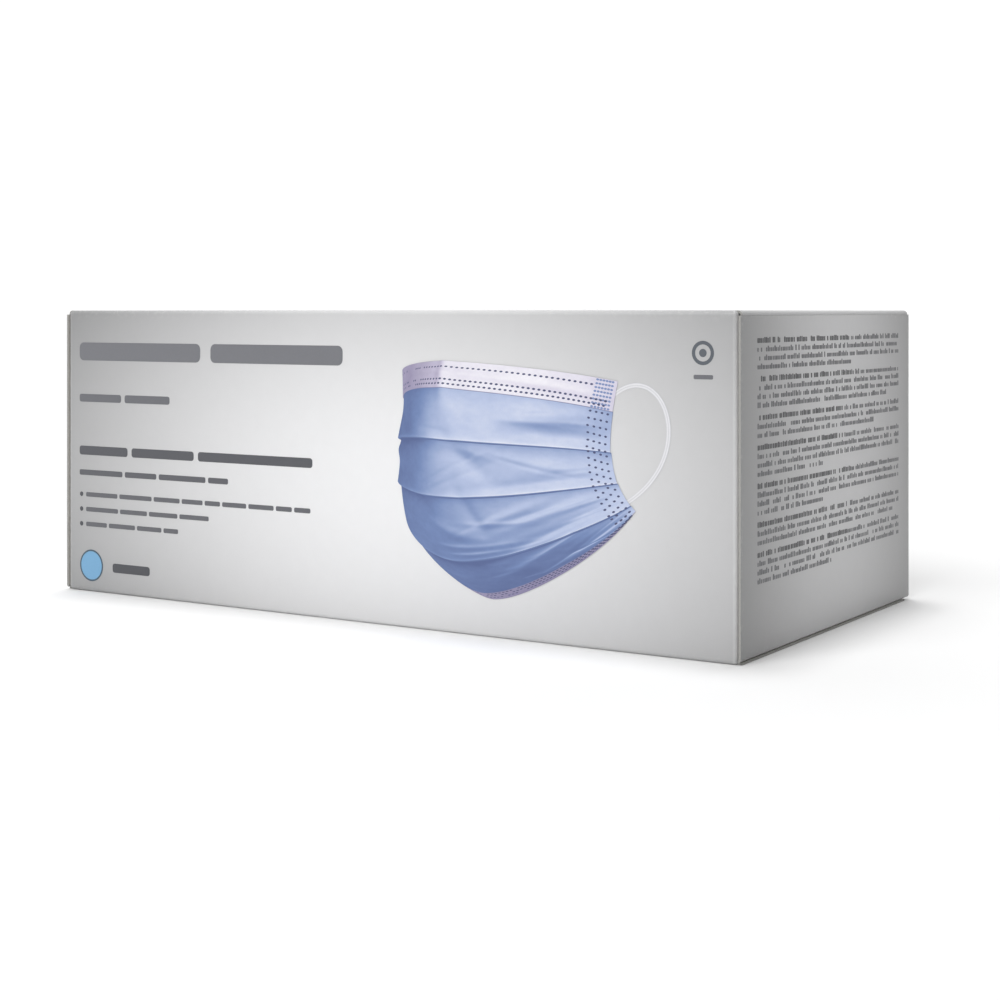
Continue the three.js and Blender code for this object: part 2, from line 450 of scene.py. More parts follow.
def sideFold(end, side):
    # The front or back wall turning in to the dust flap, at one end: a quarter circle seen from
    # above, carried up the wall's heights
    up = wallSamples()
    turn = arc((wallEnd, creaseY), creaseOutside, 90, 0)
    x = np.broadcast_to(turn[:, 0], (len(up), len(turn))) * end
    y = np.broadcast_to(turn[:, 1], (len(up), len(turn))) * side
    z = np.broadcast_to(up[:, None], x.shape)
    # The fold's grey is painted paler: a painted highlight
    toneAndShade = board["paintedFoldHighlight"] * greyAndShadeAt("front" if side < 0 else "back", x, z)
    return {"points": np.stack([x, y, z], -1), "toneAndShade": toneAndShade,
            "rub": np.full(x.shape, board["foldRub"]), "turned": end * side > 0}


def cornerCap(end, side, level):
    # An eighth of a ball where two folds run together. Level is 1 at the top, -1 at the base.
    quarter = np.linspace(0, math.pi / 2, board["arcSteps"] + 1)
    turn, rise = np.meshgrid(quarter, quarter)
    x = (wallEnd + creaseOutside * np.cos(rise) * np.sin(turn)) * end
    y = (creaseY + creaseOutside * np.cos(rise) * np.cos(turn)) * side
    z = (foldHeight if level > 0 else creaseOutside) + level * creaseOutside * np.sin(rise)
    # Painted paler like the folds: a painted highlight
    toneAndShade = board["paintedFoldHighlight"] * greyAndShadeAt("front" if side < 0 else "back", x, z)
    return {"points": np.stack([x, y, z], -1), "toneAndShade": toneAndShade,
            "rub": np.full(x.shape, board["foldRub"]), "turned": end * side * level > 0}


def topFold(end):
    # The top wall on past the side walls and down to the lid: a straight stretch and a quarter
    # circle, carried across from front to back
    across = spaced(-creaseY, creaseY)
    turn = np.concatenate([[[wallEnd, topFace]],
                           arc((endFace - creaseOutside, foldHeight), creaseOutside, 90, 0)])
    x = np.broadcast_to(turn[:, 0], (len(across), len(turn))) * end
    z = np.broadcast_to(turn[:, 1], x.shape)
    y = np.broadcast_to(across[:, None], x.shape)
    rub = np.broadcast_to(np.linspace(0, board["foldRub"], len(turn)), x.shape)
    return {"points": np.stack([x, y, z], -1), "toneAndShade": greyAndShadeAt("top", x, y), "rub": rub,
            "turned": end < 0}


def baseEdge(end):
    # The base, flat on out to its cut edge under the lid's bottom fold
    across = spaced(-creaseY, creaseY)[:-1]
    reach = np.array([wallEnd, endFace - board["baseSetback"]])
    x = np.broadcast_to(reach, (len(across), 2)) * end
    y = np.broadcast_to(across[:, None], x.shape)
    return {"points": np.stack([x, y, np.zeros(x.shape)], -1), "toneAndShade": greyAndShadeAt("top", x, y),
            "rub": np.full(x.shape, board["edgeRub"]), "turned": end > 0}


def glueFlapSheet():
    # A flat sheet behind the back wall, shorter with height, so that its ends slant
    heights = spaced(creaseOutside + glueFlap["start"], glueFlap["top"], glueFlap["cell"])
    share = (heights - heights[0]) / (heights[-1] - heights[0])
    half = endFace - glueFlap["endSetback"] - glueFlap["endSlant"] * share
    x = half[:, None] * np.linspace(-1, 1, glueFlap["columns"])[None, :]
    z = np.broadcast_to(heights[:, None], x.shape)
    y = np.full(x.shape, sideFace - board["thickness"] - glueFlap["behind"])
    return {"points": np.stack([x, y, z], -1), "toneAndShade": np.full(x.shape, glueFlap["toneAndShade"]),
            "rub": np.zeros(x.shape), "turned": True}


def makeTube(finishes):
    # No cap at the back's lower corners, where the glue flap turns up
    sheets = [tubeSheet(), glueFlapSheet()]
    for end in (-1, 1):
        sheets += [sideFold(end, -1), sideFold(end, 1), topFold(end), baseEdge(end)]
        sheets += [cornerCap(end, -1, 1), cornerCap(end, 1, 1), cornerCap(end, -1, -1)]
    tube = boardPiece("printedTube", sheets, finishes)
    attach(tube, "carton")
    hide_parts("carton_tube")


# The lid and its tongue
lidShape = {
    "creaseSlit": 0.03,  # left open above the lid, on the fold that it shares with the top
    "tongueReach": 14.0,
    "tongueInset": 1.6,
    "tipRadius": 6.0,
    "bottomRadius": 0.6,  # the bottom fold's, outside
    "lower": 0.2,  # how far the bottom fold lies below the solid's, close over the base
    "wider": 0.2,  # how far each side edge lies outside the solid's, almost flush with the walls
    "firstPlaces": (0.05, 1.0),  # along the tongue, from its fold
    "cornerTurns": (15, 91, 7.5),  # degrees round the tip's corners: first, limit and step
}


def cornerRounding(fromTip, radius):
    # How far a round corner has come in from the side, at each distance from the tip
    inCorner = np.clip(radius - fromTip, 0, None)
    return radius - np.sqrt(radius ** 2 - inCorner ** 2)


def lidSheet(end):
    # One strip down from the fold, round the bottom and up along the tongue, with the width at
    # each point of it. The tongue's corners follow a circle.
    tongueLow = lidLow[2] - lidShape["lower"]
    tipHeight = foldHeight - math.sqrt((foldHeight - tongueLow) ** 2
                                       - (creaseOutside + lidShape["tongueReach"]) ** 2)
    tilt = math.asin((tipHeight - tongueLow) / lidShape["tongueReach"])
    radius = lidShape["bottomRadius"]
    centre = (endFace - radius, tongueLow + radius)
    down = spaced(foldHeight - lidShape["creaseSlit"], centre[1])
    bottom = arc(centre, radius, 0, -90 - math.degrees(tilt))
    reach = lidShape["tongueReach"] + creaseOutside - radius
    tipRadius = lidShape["tipRadius"]
    first, second = lidShape["firstPlaces"]
    turns = np.radians(np.arange(*lidShape["cornerTurns"]))
    inward = np.concatenate([[first], spaced(second, reach - tipRadius),
                             reach - tipRadius * (1 - np.sin(turns))])
    strip = np.concatenate([
        np.stack([np.full(len(down), endFace), down], 1),
        bottom[1:],
        bottom[-1] + inward[:, None] * np.array([-math.cos(tilt), math.sin(tilt)]),
    ])
    panel = len(down) + len(bottom) - 1
    rounding = cornerRounding(reach - inward, tipRadius)
    half = np.concatenate([np.full(panel, lidHigh[1] + lidShape["wider"]),
                           sideFace - lidShape["tongueInset"] - rounding])
    share = np.linspace(-1, 1, int(2 * sideFace / board["cell"]))
    y = half[:, None] * share[None, :]
    z = np.broadcast_to(strip[:, 1:], y.shape)
    x = strip[:, :1] + np.where(np.arange(len(strip))[:, None] < len(down), lidBow(y, z), 0)
    fold = np.minimum(np.abs(z - foldHeight), np.hypot(x - endFace, z - tongueLow))
    rub = rubNearFold(np.minimum(fold, half[:, None] - np.abs(y)))
    # The end panel's grey is darker: painted shade
    return {"points": np.stack([x * end, y, z], -1), "toneAndShade": greyAndShadeAt("end", y * end, z),
            "rub": rub, "turned": end > 0}


def makeLid(side, end, finishes):
    lid = boardPiece(f"{side}PrintedLid", [lidSheet(end)], finishes)
    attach(lid, f"{side}_lid")
    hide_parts(f"{side}_lid")


dustFlapShape = {
    "lowTaper": 3.0,  # how far the flap narrows from its fold to its tip
    "topTaper": 6.0,
    "tipRadius": 5.0,
    "toneAndShade": 0.93,  # coated but not printed
    "cornerStep": 9,  # degrees round the tip's corners
    "rows": 32,
}


def dustFlapSheet(end, side):
    # Between a lower and an upper edge that lean together towards the tip, and near it follow
    # circles. The places run from the tip back to the fold.
    shape = dustFlapShape
    root, tip = -flapLow[1], -flapHigh[1]
    radius = shape["tipRadius"]
    nearTip = radius * (1 - np.cos(np.radians(np.arange(0, 90, shape["cornerStep"]))))
    fromTip = np.concatenate([nearTip, spaced(radius, root - tip)])
    share = 1 - fromTip / (root - tip)
    rounding = cornerRounding(fromTip, radius)
    low = flapLow[2] + shape["lowTaper"] * share + rounding
    high = flapHigh[2] - shape["topTaper"] * share - rounding
    z = low + (high - low) * np.linspace(0, 1, shape["rows"])[:, None]
    y = np.broadcast_to(tip + fromTip, z.shape)
    x = np.full(z.shape, flapHigh[0])
    return {"points": np.stack([x * end, y * side, z], -1), "toneAndShade": np.full(x.shape, shape["toneAndShade"]),
            "rub": rubNearFold(root - y), "turned": end * side < 0}


def makeDustFlaps(finishes):
    for sideName, end in (("right", 1), ("left", -1)):
        for wall, side in (("front", -1), ("back", 1)):
            name = f"{sideName}_{wall}_dust_flap"
            flap = boardPiece(f"{sideName}{wall.title()}Flap", [dustFlapSheet(end, side)], finishes)
            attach(flap, name)
            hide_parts(name)


# Prints are thin films of ink on the panels. Each is drawn flat, in the panel's own two
# directions, and then laid on the bowed board.
filmLift = 0.03


def onFront(flat, height=0.0):
    x, z = flat[:, 0], flat[:, 1]
    return np.stack([x, -sideFace - wallBow(x, z) - filmLift - height, z], 1)


def onRightLid(flat, height=0.0):
    y, z = flat[:, 0], flat[:, 1]
    return np.stack([endFace + lidBow(y, z) + filmLift + height, y, z], 1)


def inkPiece(name, points, faces, colours, body, finishes):
    # Colours are linear, one for each corner of each face
    piece = linkMesh(name, points, faces)
    layer = piece.data.color_attributes.new(name="ink", type="FLOAT_COLOR", domain="CORNER")
    rgba = np.concatenate([colours, np.ones((len(colours), 1))], 1)
    layer.data.foreach_set("color", rgba.astype(np.float32).ravel())
    piece.data.materials.append(finishes["ink"])
    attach(piece, body)


def oneInk(hexColour, count):
    return np.tile(linearColour(hexColour)[:3], (count, 1))


def roundedBars(bars, cornerPoints):
    # Bars with round corners, as fans of triangles. A bar is left, low, width, height, radius.
    bars = np.asarray(bars, float)
    angle = np.radians(np.linspace(0, 90, cornerPoints))
    corner = np.stack([np.cos(angle), np.sin(angle)], 1)
    turns = [(1, 1), (-1, 1), (-1, -1), (1, -1)]
    ring = np.concatenate([(corner if a * b > 0 else corner[::-1]) * (a, b) for a, b in turns])
    quadrant = np.repeat(np.array(turns), cornerPoints, axis=0)
    centre = bars[:, None, :2] + bars[:, None, 2:4] / 2
    inner = bars[:, None, 2:4] / 2 - bars[:, None, 4:5]
    rim = centre + quadrant[None] * inner + ring[None] * bars[:, None, 4:5]
    points = np.concatenate([centre, rim], 1)
    count = len(ring)
    first = 1 + np.arange(count)
    fan = np.stack([np.zeros(count, int), first, 1 + np.arange(1, count + 1) % count], 1)
    faces = fan[None] + (np.arange(len(bars)) * (count + 1))[:, None, None]
    return points.reshape(-1, 2), faces.reshape(-1, 3)


def makeBars(name, groups, lay, body, finishes, cornerPoints=5):
    # One piece out of several groups of bars, each group with its own ink
    flats, faces, colours = [], [], []
    count = 0
    for bars, hexColour in groups:
        flat, made = roundedBars(bars, cornerPoints)
        flats.append(flat)
        faces.append(made + count)
        colours.append(oneInk(hexColour, made.size))
        count += len(flat)
    inkPiece(name, lay(np.concatenate(flats)), np.concatenate(faces), np.concatenate(colours),
             body, finishes)


# The lengths are to one another. The space and the corner are shares of a bar's height.
wordBar = {"lengths": (0.5, 1.4), "space": 0.6, "corner": 0.3}


def wordRow(left, low, length, height, words, seed):
    # A line of plain bars, each as long as a word might be. The lengths are drawn from a seed.
    lengths = np.random.default_rng(seed).uniform(*wordBar["lengths"], words)
    space = wordBar["space"] * height
    radius = wordBar["corner"] * height
    lengths *= (length - space * (words - 1)) / lengths.sum()
    starts = left + np.concatenate([[0], np.cumsum(lengths + space)[:-1]])
    return [[start, low, wide, height, radius] for start, wide in zip(starts, lengths)]


# Plain bars in the places of the front's lines of words.
# Columns: left, low, length, height, words, ink.
frontBars = [
    (-90.3, 59.2, 41.0, 4.6, 1, "#797A7F"),
    (-46.0, 59.2, 40.4, 4.6, 1, "#797A7F"),
    (-90.3, 48.6, 31.0, 2.0, 2, "#6E6F74"),
    (-90.3, 35.0, 75.9, 2.3, 3, "#58595E"),
    (-90.3, 29.8, 50.0, 1.4, 4, "#5F6065"),
    (-88.0, 24.3, 73.0, 1.15, 9, "#65666B"),
    (-88.0, 20.5, 41.5, 1.15, 4, "#65666B"),
    (-88.0, 16.7, 31.5, 1.15, 4, "#65666B"),
    (-78.7, 5.5, 12.7, 2.3, 1, "#4E4F54"),
    (84.5, 57.9, 4.4, 0.9, 1, "#707176"),
]
bulletDots = {"left": -90.2, "size": 1.2, "lows": (24.3, 20.5, 16.7), "ink": "#4E4F54"}


def makeFrontBars(finishes):
    groups = [(wordRow(*row[:5], seed), row[5]) for seed, row in enumerate(frontBars)]
    size = bulletDots["size"]
    groups.append(([[bulletDots["left"], low, size, size, size / 2] for low in bulletDots["lows"]],
                   bulletDots["ink"]))
    makeBars("wordBars", groups, onFront, "carton", finishes)


# Round marks on the front: a sample of the masks' colour in a dark ring, and a ring with a dot.
# Columns: name, centre, inner radius, outer radius, ink.
marks = [
    ("colourSample", (-86.1, 6.75), 0, 3.65, "#79ACD2"),
    ("colourSampleRing", (-86.1, 6.75), 3.6, 4.05, "#465A6A"),
    ("cornerRing", (86.6, 63.3), 1.75, 2.5, "#5F646B"),
    ("cornerDot", (86.6, 63.3), 0, 0.85, "#5F646B"),
]


def makeMarks(finishes, sides=64):
    angle = np.linspace(0, 2 * np.pi, sides, endpoint=False)
    unit = np.stack([np.cos(angle), np.sin(angle)], 1)
    step = np.arange(sides)
    for name, centre, inner, outer, ink in marks:
        flat = np.array(centre) + unit * outer
        faces = step[None]
        if inner:
            flat = np.concatenate([flat, np.array(centre) + unit * inner])
            after = (step + 1) % sides
            faces = np.stack([step, after, after + sides, step + sides], 1)
        inkPiece(name, onFront(flat), faces, oneInk(ink, faces.size), "carton", finishes)


# Fine print on the right-hand lid: lines of small upright marks that spell nothing
finePrint = {
    "left": -41.8,
    "right": 42.9,
    "top": 67.1,
    "pitch": 1.82,
    "groupGap": 0.72,
    "lines": (4, 4, 3, 4, 4, 3, 4),
    "lastShare": (0.62, 0.9, 0.8, 0.42, 0.42, 0.95, 0.48),  # length of a group's last line
    "boldShare": 0.6,  # how much of a group's first line is darker
    "mark": 0.64,
    "widths": (0.8, 0.4),  # a mark's least width and what may be added, as shares of it
    "corner": 0.1,
    "gap": 0.22,
    "wordGaps": 0.16,  # share of the marks that are left out
    "tallFrom": 0.72,  # a draw above this makes a tall mark
    "heights": (0.86, 1.2),
    "boldHeights": (1.02, 1.2),
    "ink": "#5E5F63",
    "boldInk": "#3A3B3F",
}


def fineLine(low, length, seed, heights):
    # Marks at an even pitch, one in six left out as a gap between words. The second row of draws
    # gives the widths, and its later digits say which marks are left out.
    pitch = finePrint["mark"] + finePrint["gap"]
    draw = np.random.default_rng(seed).uniform(size=(2, int(length / pitch)))
    starts = finePrint["left"] + pitch * np.arange(draw.shape[1])
    high = np.where(draw[0] > finePrint["tallFrom"], heights[1], heights[0])
    least, more = finePrint["widths"]
    wide = finePrint["mark"] * (least + more * draw[1])
    bars = np.stack([starts, np.full(len(starts), low), wide, high,
                     np.full(len(starts), finePrint["corner"])], 1)
    return bars[(draw[1] * 7) % 1 > finePrint["wordGaps"]]


def makeFinePrint(finishes):
    plain, bold = [], []
    low = finePrint["top"]
    width = finePrint["right"] - finePrint["left"]
    for group, (lines, last) in enumerate(zip(finePrint["lines"], finePrint["lastShare"])):
        for line in range(lines):
            low -= finePrint["pitch"]
            length = width * (last if line == lines - 1 else 1)
            seed = 10 * group + line
            bars = fineLine(low, length, seed, finePrint["heights"])
            split = int(len(bars) * finePrint["boldShare"]) if line == 0 else 0
            bold.append(fineLine(low, length, seed, finePrint["boldHeights"])[:split])
            plain.append(bars[split:])
        low -= finePrint["groupGap"]
    groups = [(np.concatenate(plain), finePrint["ink"]), (np.concatenate(bold), finePrint["boldInk"])]
    makeBars("finePrint", groups, onRightLid, "right_lid", finishes, cornerPoints=2)


# The printed picture: a pleated mask is worked out in the round, in its own millimetres, turned
# to the picture's angle, shaded, and pressed flat into a film of ink
mask = {
    "turn": 36.0,  # degrees away from facing the viewer
    "topBand": 0.112,  # shares of the mask's length where the bindings end and begin
    "lowBand": 0.945,
    "pleats": (0.30, 0.50, 0.76),  # shares of it where the pleats' edges lie
    "pleatStep": 3.4,
    "pleatCurve": 2.4,  # the power by which a pleat's ramp rises
    "bindingStep": 0.7,
    "wrinkle": 0.011,  # how wide the fine wrinkles are, as a share
    "sideFade": 0.9,  # how much of the folds is lost at the sides
    "sway": (0.012, 2.6, 0.4),  # the rows' waviness: its height, waves across and start
    "bend": 1.25,  # radians that the cloth bends through on each side
    "ridge": (0.08, 0.25),  # how round the ridge over the nose is, and how much more low down
    "ridgeShare": 0.6,  # how much of the way back to the sides follows the ridge, not the bend
    "liftShares": (0.004, 0.2),  # how far a fold's height also moves it sideways and up
    "middle": {"out": -18, "up": 8, "deep": 60, "tall": 72, "from": 42, "to": -74, "tuck": 22},
    "side": {"out": -39, "up": 48, "tall": 61, "gather": 2.3, "wide": 75, "waist": 5, "flare": 8,
             "chin": 0.26, "back": 5, "rise": 1.1},
    "rows": 300,
    "columns": 250,
}
# Soft folds in the cloth. Columns: u, v, angle, length, width, height.
maskFolds = [
    (0.62, 0.185, -0.10, 0.30, 0.040, 3.4),
    (0.75, 0.245, -0.02, 0.22, 0.030, -2.2),
    (0.30, 0.20, 0.16, 0.26, 0.045, -1.4),
    (0.10, 0.17, 0.90, 0.14, 0.060, 1.3),
    (0.22, 0.36, 0.50, 0.16, 0.035, -1.6),
    (0.38, 0.345, 0.12, 0.30, 0.022, 1.5),
    (0.70, 0.40, 0.05, 0.28, 0.030, 1.8),
    (0.52, 0.455, -0.06, 0.30, 0.022, -1.2),
    (0.20, 0.56, 1.05, 0.10, 0.035, -1.3),
    (0.36, 0.59, -0.22, 0.24, 0.024, 1.5),
    (0.62, 0.60, -0.16, 0.34, 0.026, 1.9),
    (0.05, 0.63, 0.25, 0.20, 0.026, 1.0),
    (0.10, 0.70, 0.04, 0.30, 0.013, 0.9),
    (0.16, 0.735, 0.02, 0.26, 0.010, 0.7),
    (0.55, 0.70, -0.20, 0.34, 0.026, -1.6),
    (0.42, 0.83, -0.20, 0.34, 0.030, 2.2),
    (0.70, 0.86, -0.12, 0.30, 0.024, -1.6),
    (0.08, 0.86, 0.06, 0.30, 0.018, 1.0),
    (-0.45, 0.22, 0.30, 0.20, 0.050, -2.6),
    (-0.70, 0.34, 0.10, 0.25, 0.030, 2.0),
    (0.36, 0.055, 0.02, 0.55, 0.016, 1.0),
    (0.02, 0.03, 1.30, 0.10, 0.040, 1.6),
]
# Finer ones, drawn from a seed: the least and the most of u, v, slope, length and height
wrinkleCount = 34
wrinkles = np.random.default_rng(7).uniform(
    (-0.2, 0.14, -0.35, 0.08, -0.7), (0.85, 0.93, 0.30, 0.30, 0.7), (wrinkleCount, 5))


def clothRelief(u, v):
    # Soft folds are bell curves across a line, fading along it. A pleat is a ramp outwards
    # that ends in a step, and is half as high at the mask's sides.
    relief = np.zeros(np.broadcast(u, v).shape)
    for u0, v0, angle, long, wide, height in maskFolds:
        along = (u - u0) * math.cos(angle) + (v - v0) * math.sin(angle)
        across = (v - v0) * math.cos(angle) - (u - u0) * math.sin(angle)
        relief = relief + height * np.exp(-(along / long) ** 2 - (across / wide) ** 2)
    for u0, v0, slope, long, height in wrinkles:
        across = (v - v0 - slope * (u - u0)) / mask["wrinkle"]
        relief = relief + height * np.exp(-((u - u0) / long) ** 2 - across ** 2)
    edges = np.array([0.0, *mask["pleats"], 1.0])
    step = np.clip(np.searchsorted(edges, v, side="right") - 1, 0, len(edges) - 2)
    share = (v - edges[step]) / (edges[step + 1] - edges[step])
    ramp = np.where(step < len(edges) - 2, share ** mask["pleatCurve"], 0) * mask["pleatStep"]
    binding = np.where((v < mask["topBand"]) | (v > mask["lowBand"]), mask["bindingStep"], 0.0)
    return relief * (1 - mask["sideFade"] * u ** 8) + ramp * (1 - u ** 2 / 2) + binding


def maskForm(u, v):
    # u runs across from -1 to 1 and v down from 0 to 1. Down the middle the mask is part of an
    # ellipse. Its sides lie back by the cheeks, shorter, as the pleats are gathered there. Between
    # the two it runs along a rounded ridge over the nose that broadens downwards.
    middle, side, bend = mask["middle"], mask["side"], mask["bend"]
    swayHeight, waves, waveStart = mask["sway"]
    sway = swayHeight * np.sin(np.pi * v) * np.sin(waves * u + waveStart) * (1 - u ** 2)
    angle = np.radians(middle["from"] + (middle["to"] - middle["from"]) * (v + sway))
    middleOut = middle["out"] + middle["deep"] * np.cos(angle) - middle["tuck"] * v ** 3
    middleUp = middle["up"] + middle["tall"] * np.sin(angle)
    gathered = 1 - np.clip(1 - v, 0, 1) ** side["gather"]
    corner = gathered ** 6
    sideOut = side["out"] - side["back"] * corner
    sideUp = side["up"] - side["tall"] * gathered
    wide = side["wide"] - side["waist"] * np.sin(np.pi * gathered) + side["flare"] * corner * (u > 0)
    soft = mask["ridge"][0] + mask["ridge"][1] * v
    ridge = (np.sqrt(u ** 2 + soft ** 2) - soft) / (np.sqrt(1 + soft ** 2) - soft)
    cheek = (1 - np.cos(bend * u)) / (1 - math.cos(bend))
    away = mask["ridgeShare"] * ridge + (1 - mask["ridgeShare"]) * cheek
    x = wide * np.sin(bend * u) / math.sin(bend)
    out = middleOut + (sideOut - middleOut) * away
    up = middleUp + (sideUp - middleUp) * away ** (side["rise"] - side["chin"] * v ** 2)
    lift = clothRelief(u, v)
    wider, higher = mask["liftShares"]
    return np.stack([x * (1 + wider * lift), out + lift, up + higher * lift], -1)


picture = {
    "centre": (40.7, 34.7),  # where the middle of the picture lies on the front
    "height": 52.3,
    "pressed": 0.0012,  # what is left of the form's depth when it is pressed flat
}
shading = {
    "sun": (0.34, 0.55, 0.76),
    "bounce": (-0.75, -0.45, 0.49),  # weak light from below, on the side away from the sun
    "lights": (0.07, 0.82, 0.24),  # from all round, from the sun and from the bounce
    "length": 150,  # of the cloth from top to bottom, in millimetres
    "underPleat": (0.30, 3.6),  # how much darker, and over how many millimetres it fades
    "pleatLip": (0.22, 1.1),  # how much lighter, and over how many
    "underBand": (0.12, 2.5),
    "turnedAway": 0.22,  # darker where the cloth faces sideways
    "lowDown": 0.06,  # darker towards the bottom
    "mottle": ((0.034, 11, 1), (0.022, 3, 2)),  # strength, cell and seed of two noises
    "band": 1.12,  # the bindings are lighter
}
clothInks = {
    "at": (0.0, 0.30, 0.55, 0.78, 1.0),
    "blue": ("#556593", "#7288B6", "#95A6CC", "#BAC6E3", "#E5E8F5"),
    "band": ("#8A84A4", "#A9A2BC", "#C9C3D8", "#E0DCEA", "#F5F3F9"),
}


def turned(form):
    # From the mask's own axes to the picture's: right, up and towards the viewer
    angle = math.radians(mask["turn"])
    right = form[..., 0] * math.cos(angle) - form[..., 1] * math.sin(angle)
    near = form[..., 0] * math.sin(angle) + form[..., 1] * math.cos(angle)
    return np.stack([right, form[..., 2], near], -1)


def inkRamp(kind, shade):
    # Straight steps between the inks, mixed as sRGB and then made linear
    inks = np.array([hexParts(ink) for ink in clothInks[kind]])
    return toLinear(np.stack([np.interp(shade, clothInks["at"], inks[:, i]) for i in range(3)], -1))


def pictureSamples(near=0.005, nearest=1e-4, extra=11):
    # Rows are closer where a pleat steps back and where a binding ends
    rows = np.linspace(0, 1, mask["rows"])
    steps = [edge + np.linspace(-near, near, extra) for edge in mask["pleats"]]
    ends = [edge + np.array([-nearest, nearest]) for edge in (mask["topBand"], mask["lowBand"])]
    rows = np.unique(np.round(np.concatenate([rows, *steps, *ends]), 5))
    return np.meshgrid(np.linspace(-1, 1, mask["columns"]), rows)


def smoothNoise(shape, cell, seed):
    # Random values on a coarse net, spread between its knots by straight lines each way
    knots = np.random.default_rng(seed).uniform(-1, 1, (shape[0] // cell + 2, shape[1] // cell + 2))
    rows = np.arange(shape[0]) / cell
    columns = np.arange(shape[1]) / cell
    across = np.stack([np.interp(columns, np.arange(knots.shape[1]), knot) for knot in knots])
    return np.stack([np.interp(rows, np.arange(knots.shape[0]), line) for line in across.T], 1)


def pictureShade(seen, u, v):
    # Light on the turned form, with a dark line under each pleat's edge and a light lip on it
    normal = np.cross(np.gradient(seen, axis=0), np.gradient(seen, axis=1))
    normal /= np.linalg.norm(normal, axis=-1, keepdims=True) + 1e-12
    normal *= np.where(normal[..., 2:] < 0, -1, 1)
    sun = np.array(shading["sun"]) / np.linalg.norm(shading["sun"])
    around, direct, bounced = shading["lights"]
    shade = around + direct * np.clip(normal @ sun, 0, 1)
    shade = shade + bounced * np.clip(normal @ np.array(shading["bounce"]), 0, 1) ** 2
    darker, fade = shading["underPleat"]
    lighter, lip = shading["pleatLip"]
    for edge in mask["pleats"]:
        below = (v - edge) * shading["length"]
        shade = shade - np.where(below >= 0, darker * np.exp(-below / fade), 0)
        shade = shade + np.where(below < 0, lighter * np.exp(below / lip), 0)
    darker, fade = shading["underBand"]
    below = (v - mask["topBand"]) * shading["length"]
    shade = shade - np.where(below >= 0, darker * np.exp(-below / fade), 0)
    sideways = shading["turnedAway"] * (1 - np.abs(normal[..., 2]))
    shade = shade * (1 - sideways) - shading["lowDown"] * v ** 2
    for strength, cell, seed in shading["mottle"]:
        shade = shade + strength * smoothNoise(u.shape, cell, seed)
    return np.clip(shade, 0, 1)


def nearestDepths(seen, cell=1.0):
    # The nearest depth in each cell of a coarse net laid over the picture
    spots = seen.reshape(-1, 3)
    low = spots[:, :2].min(0)
    place = np.floor((spots[:, :2] - low) / cell).astype(int)
    net = np.full(place.max(0) + 1, -np.inf)
    np.maximum.at(net, (place[:, 0], place[:, 1]), spots[:, 2])

    def isSeen(points, slack=2.0):
        # Hidden is what lies behind the nearest cloth by more than the slack
        at = np.clip(np.floor((points[:, :2] - low) / cell).astype(int), 0, np.array(net.shape) - 1)
        return points[:, 2] > net[at[:, 0], at[:, 1]] - slack
    return isSeen


def makePicture(finishes):
    u, v = pictureSamples()
    seen = turned(maskForm(u, v))
    shade = pictureShade(seen, u, v).ravel()
    low, high = seen.reshape(-1, 3).min(0), seen.reshape(-1, 3).max(0)
    scale = picture["height"] / (high[1] - low[1])
    print(f"picture scale {scale:.3f}, width {(high[0] - low[0]) * scale:.1f} mm")

    def placed(points, lift=0.0):
        # From the picture's millimetres to a film on the front panel
        spot = (points[:, :2] - (low + high)[:2] / 2) * scale + picture["centre"]
        return onFront(spot, (points[:, 2] - low[2]) * picture["pressed"] + lift)

    faces = gridFaces(*u.shape)
    middle = v.ravel()[faces].mean(1)
    onBand = np.repeat((middle < mask["topBand"]) | (middle > mask["lowBand"]), 4)[:, None]
    at = faces.ravel()
    colours = np.where(onBand, inkRamp("band", np.clip(shade * shading["band"], 0, 1))[at],
                       inkRamp("blue", shade)[at])
    inkPiece("maskPicture", placed(seen.reshape(-1, 3)), faces, colours, "carton", finishes)
    makeWelds(placed, nearestDepths(seen), finishes)
    makeEarLoop(finishes)


# Weld dots: rows along the bindings and columns down the sides, at an even spacing on the cloth.
# Columns: the row's v or the column's u, where it starts, where it ends, spacing.
weldRows = [
    (0.026, -0.96, 0.85, 3.3),
    (0.078, -0.96, 0.96, 3.1),
    (0.096, -0.96, 0.96, 3.1),
    (0.953, -0.90, 0.96, 2.6),
    (0.967, -0.90, 0.96, 2.6),
    (0.982, -0.90, 0.96, 2.6),
]
weldColumns = [(side * place, 0.125, 0.93, 3.6)
               for side in (-1, 1) for place in (0.865, 0.90, 0.935, 0.97)]
weldPatch = [(side * place, 0.006, 0.108, 1.9)
             for side in (-1, 1) for place in (0.87, 0.89, 0.91, 0.93, 0.95, 0.97)]
weldDot = {"long": 0.95, "short": 0.55, "sides": 8, "lift": 0.006, "ink": "#4A4F74",
           "patchInk": "#7F93BF"}


def evenly(line, start, end, spacing, samples=400):
    # Places at an even spacing along a line on the cloth, found from its length so far
    share = np.linspace(start, end, samples)
    steps = np.linalg.norm(np.diff(line(share), axis=0), axis=1)
    reached = np.concatenate([[0], np.cumsum(steps)])
    return np.interp(np.arange(0, reached[-1], spacing), reached, share)


def weldCentres(rows, columns):
    spots = []
    for v, start, end, spacing in rows:
        places = evenly(lambda u: maskForm(u, np.full(u.shape, v)), start, end, spacing)
        spots.append(np.stack([places, np.full(len(places), v)], 1))
    for u, start, end, spacing in columns:
        places = evenly(lambda v: maskForm(np.full(v.shape, u), v), start, end, spacing)
        spots.append(np.stack([np.full(len(places), u), places], 1))
    return np.concatenate(spots)


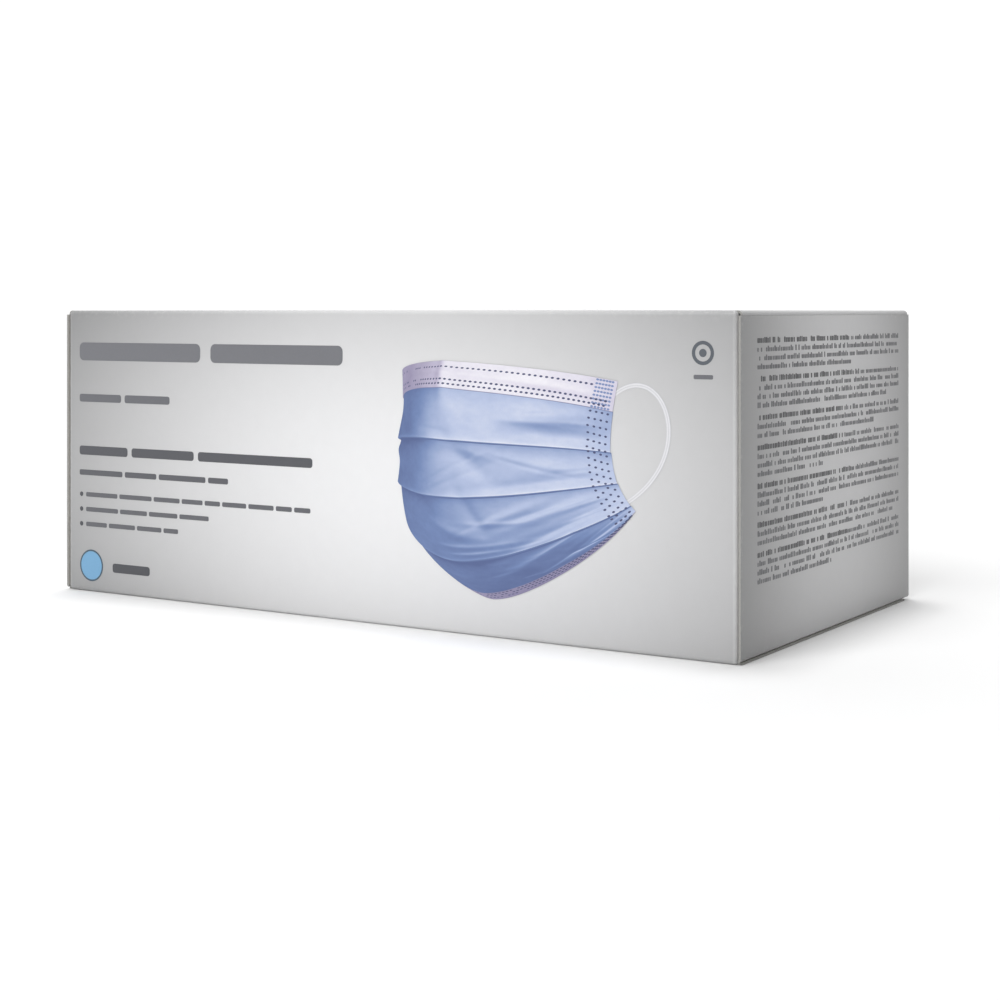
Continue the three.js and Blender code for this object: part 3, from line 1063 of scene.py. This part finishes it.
def makeWeldDots(name, centres, ink, placed, isSeen, finishes, nudge=1e-3):
    # Each dot is an oval in the cloth's own directions at that place
    u, v = centres.T
    middle = turned(maskForm(u, v))
    alongRow = turned(maskForm(u + nudge, v)) - middle
    downColumn = turned(maskForm(u, v + nudge)) - middle
    alongRow *= weldDot["long"] / np.linalg.norm(alongRow, axis=1, keepdims=True)
    downColumn *= weldDot["short"] / np.linalg.norm(downColumn, axis=1, keepdims=True)
    angle = np.linspace(0, 2 * np.pi, weldDot["sides"], endpoint=False)[None, :, None]
    rims = middle[:, None] + np.cos(angle) * alongRow[:, None] + np.sin(angle) * downColumn[:, None]
    rims = rims[isSeen(middle)]
    faces = np.arange(len(rims) * weldDot["sides"]).reshape(len(rims), -1)
    inkPiece(name, placed(rims.reshape(-1, 3), weldDot["lift"]), faces, oneInk(ink, faces.size),
             "carton", finishes)


def makeWelds(placed, isSeen, finishes):
    makeWeldDots("maskPictureWelds", weldCentres(weldRows, weldColumns), weldDot["ink"], placed,
                 isSeen, finishes)
    makeWeldDots("maskPictureCornerWelds", weldCentres([], weldPatch), weldDot["patchInk"], placed,
                 isSeen, finishes)


# The ear loop in the picture: a cubic curve with these handles, on the front's own millimetres
earLoop = {
    "handles": ((64.9, 53.3), (77.0, 64.5), (87.5, 42.0), (68.0, 31.0)),
    "width": 1.05,
    "lift": 0.02,
    "steps": 120,
    "inks": ("#D0D0D4", "#EBEBEE", "#D3D3D7", "#EDEDF0", "#C9C9CE"),  # from edge to edge
}


def makeEarLoop(finishes):
    t = np.linspace(0, 1, earLoop["steps"])[:, None]
    a, b, c, d = (np.array(handle) for handle in earLoop["handles"])
    path = a * (1 - t) ** 3 + 3 * b * t * (1 - t) ** 2 + 3 * c * t ** 2 * (1 - t) + d * t ** 3
    along = np.gradient(path, axis=0)
    along /= np.linalg.norm(along, axis=1, keepdims=True)
    side = np.stack([-along[:, 1], along[:, 0]], 1)
    offsets = np.linspace(-0.5, 0.5, len(earLoop["inks"])) * earLoop["width"]
    flat = (path[:, None] + side[:, None] * offsets[None, :, None]).reshape(-1, 2)
    faces = gridFaces(len(path), len(offsets))
    tints = np.array([linearColour(ink)[:3] for ink in earLoop["inks"]])
    colours = np.tile(tints, (len(path), 1))[faces.ravel()]
    inkPiece("maskPictureLoop", onFront(flat, earLoop["lift"]), faces, colours, "carton", finishes)


addCamera()
addStudio()
print("camera and studio made")
finishes = makeFinishes()
makeTube(finishes)
for side, end in (("right", 1), ("left", -1)):
    makeLid(side, end, finishes)
makeDustFlaps(finishes)
print("board made")
makeFrontBars(finishes)
makeMarks(finishes)
makeFinePrint(finishes)
print("plain prints made")
makePicture(finishes)
print("picture made")
